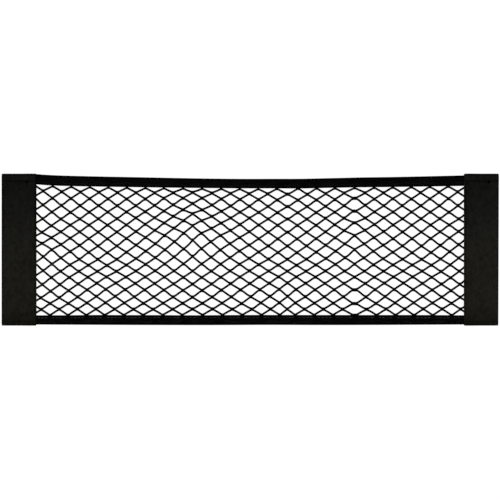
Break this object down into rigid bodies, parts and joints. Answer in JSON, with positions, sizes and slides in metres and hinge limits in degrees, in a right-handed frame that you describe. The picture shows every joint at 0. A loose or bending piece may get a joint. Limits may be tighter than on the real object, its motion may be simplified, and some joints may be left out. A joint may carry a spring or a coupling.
{
  "type": "cargo net",
  "caption": "Flat elastic cargo net: knotted diamond mesh between two folded bindings, with a wide fastening panel at each end.",
  "frame": {"origin": "centre of the footprint, on the surface that the net lies on", "axes": "+X along the net's length towards the right panel, +Y up its height towards the top binding, +Z away from the surface it lies on"},
  "size_m": [0.8, 0.2438, 0.0067],
  "materials": {
    "net_cord": "matt black knitted cord",
    "binding_tape": "black ribbed elastic tape, slight sheen",
    "panel_tape": "matt charcoal loop pile, faintly warm"
  },
  "bodies": {
    "root": {"net": "net_cord", "top_binding": "binding_tape", "bottom_binding": "binding_tape", "left_panel": "panel_tape", "right_panel": "panel_tape"}
  },
  "joints": []
}
